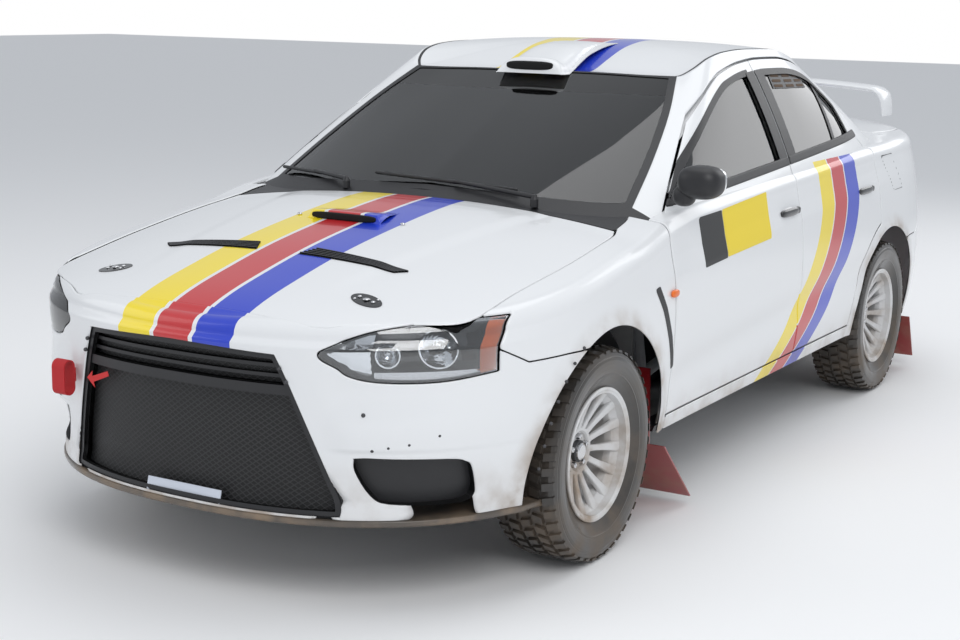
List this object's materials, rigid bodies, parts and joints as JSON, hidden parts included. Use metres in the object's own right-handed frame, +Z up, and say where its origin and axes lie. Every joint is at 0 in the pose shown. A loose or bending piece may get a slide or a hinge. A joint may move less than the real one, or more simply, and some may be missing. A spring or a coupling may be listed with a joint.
{
  "type": "rally saloon car",
  "caption": "Four-door rally saloon with opening doors, bonnet and boot lid, roll cage, steered front wheels and a rear wing.",
  "frame": {"origin": "on the ground, midway between the sides and between nose and tail", "axes": "+X to the car's left, -Y to its nose, +Z up"},
  "size_m": [1.8849, 4.4734, 1.4973],
  "materials": {
    "white_paint": "gloss",
    "bumper_paint": "gloss",
    "floor_paint": "satin",
    "black_plastic": "textured",
    "splitter_composite": "worn, muddy",
    "lamp_plastic": "clear",
    "tail_lamp_plastic": "clear red",
    "clear_glass": "tinted",
    "dark_glass": "dark tinted",
    "flap_rubber": "matt, dusty",
    "chassis_steel": "matt",
    "engine_metal": "cast",
    "guard_metal": "scraped",
    "exhaust_steel": "heat stained",
    "cage_paint": "satin",
    "seat_cloth": "woven",
    "wheel_leather": "suede",
    "strap_webbing": "woven",
    "eye_steel": "gloss",
    "rim_paint": "satin, dusty",
    "tyre_rubber": "matt, dusty"
  },
  "bodies": {
    "shell": {"side_frames": "white_paint", "roof_panel": "white_paint", "floor_pan": "floor_paint", "scuttle": "black_plastic", "front_fenders": "white_paint", "front_bumper": "bumper_paint", "front_grille": "black_plastic", "front_splitter": "splitter_composite", "headlights": "lamp_plastic", "windscreen": "clear_glass", "rear_window": "dark_glass", "rear_bumper": "bumper_paint", "tail_lights": "tail_lamp_plastic", "side_skirts": "black_plastic", "roof_vent": "bumper_paint", "wheel_liners": "black_plastic", "mud_flaps": "flap_rubber", "front_suspension": "chassis_steel", "rear_suspension": "chassis_steel", "engine_block": "engine_metal", "sump_guard": "guard_metal", "exhaust": "exhaust_steel", "driveline": "chassis_steel", "roll_cage": "cage_paint", "seats": "seat_cloth", "dashboard": "black_plastic", "wipers": "black_plastic", "tow_strap": "strap_webbing", "rear_tow_eye": "eye_steel"},
    "bonnet_lid": {"bonnet": "white_paint", "bonnet_vents": "black_plastic"},
    "boot": {"boot_lid": "white_paint", "rear_wing": "bumper_paint"},
    "front_left_door_leaf": {"front_left_door": "white_paint", "front_left_window": "dark_glass", "left_mirror": "black_plastic"},
    "front_right_door_leaf": {"front_right_door": "white_paint", "front_right_window": "dark_glass"},
    "rear_left_door_leaf": {"rear_left_door": "white_paint", "rear_left_window": "dark_glass"},
    "rear_right_door_leaf": {"rear_right_door": "white_paint", "rear_right_window": "dark_glass"},
    "left_hub": {"front_left_knuckle": "chassis_steel"},
    "right_hub": {"front_right_knuckle": "chassis_steel"},
    "front_left_road_wheel": {"front_left_wheel": "rim_paint", "front_left_tyre": "tyre_rubber"},
    "front_right_road_wheel": {"front_right_wheel": "rim_paint", "front_right_tyre": "tyre_rubber"},
    "rear_left_road_wheel": {"rear_left_wheel": "rim_paint", "rear_left_tyre": "tyre_rubber"},
    "rear_right_road_wheel": {"rear_right_wheel": "rim_paint", "rear_right_tyre": "tyre_rubber"},
    "steering": {"steering_wheel": "wheel_leather"}
  },
  "joints": [
    {"name": "bonnet_hinge", "type": "hinge", "parent": "shell", "child": "bonnet_lid", "pos_m": [0, -1.034, 1.003], "axis": [-1, 0, 0], "range_deg": [0, 60]},
    {"name": "boot_hinge", "type": "hinge", "parent": "shell", "child": "boot", "pos_m": [0, 1.572, 1.121], "axis": [1, 0, 0], "range_deg": [0, 60]},
    {"name": "front_left_door_hinge", "type": "hinge", "parent": "shell", "child": "front_left_door_leaf", "pos_m": [0.894, -0.901, 0.65], "axis": [0, 0, -1], "range_deg": [0, 65]},
    {"name": "front_right_door_hinge", "type": "hinge", "parent": "shell", "child": "front_right_door_leaf", "pos_m": [-0.894, -0.901, 0.65], "axis": [0, 0, 1], "range_deg": [0, 65]},
    {"name": "rear_left_door_hinge", "type": "hinge", "parent": "shell", "child": "rear_left_door_leaf", "pos_m": [0.889, 0.2475, 0.65], "axis": [0, 0, -1], "range_deg": [0, 65]},
    {"name": "rear_right_door_hinge", "type": "hinge", "parent": "shell", "child": "rear_right_door_leaf", "pos_m": [-0.889, 0.2475, 0.65], "axis": [0, 0, 1], "range_deg": [0, 65]},
    {"name": "left_steer", "type": "hinge", "parent": "shell", "child": "left_hub", "pos_m": [0.7125, -1.3425, 0.205], "axis": [-0.2209, 0, 0.9753], "range_deg": [-28, 28]},
    {"name": "right_steer", "type": "hinge", "parent": "shell", "child": "right_hub", "pos_m": [-0.7125, -1.3425, 0.205], "axis": [0.2209, 0, 0.9753], "range_deg": [-28, 28]},
    {"name": "steering_column", "type": "hinge", "parent": "shell", "child": "steering", "pos_m": [0.378, -0.3925, 0.93], "axis": [0, 0.9272, 0.3746], "range_deg": [-378, 378]},
    {"name": "front_left_spin", "type": "hinge", "parent": "left_hub", "child": "front_left_road_wheel", "pos_m": [0.7725, -1.3425, 0.323], "axis": [1, 0, 0], "continuous": true},
    {"name": "front_right_spin", "type": "hinge", "parent": "right_hub", "child": "front_right_road_wheel", "pos_m": [-0.7725, -1.3425, 0.323], "axis": [1, 0, 0], "continuous": true},
    {"name": "rear_left_spin", "type": "hinge", "parent": "shell", "child": "rear_left_road_wheel", "pos_m": [0.7725, 1.3075, 0.323], "axis": [1, 0, 0], "continuous": true},
    {"name": "rear_right_spin", "type": "hinge", "parent": "shell", "child": "rear_right_road_wheel", "pos_m": [-0.7725, 1.3075, 0.323], "axis": [1, 0, 0], "continuous": true}
  ],
  "couplings": [
    {"joint": "right_steer", "follows": "left_steer", "ratio": 1},
    {"joint": "steering_column", "follows": "left_steer", "ratio": 13.5}
  ]
}
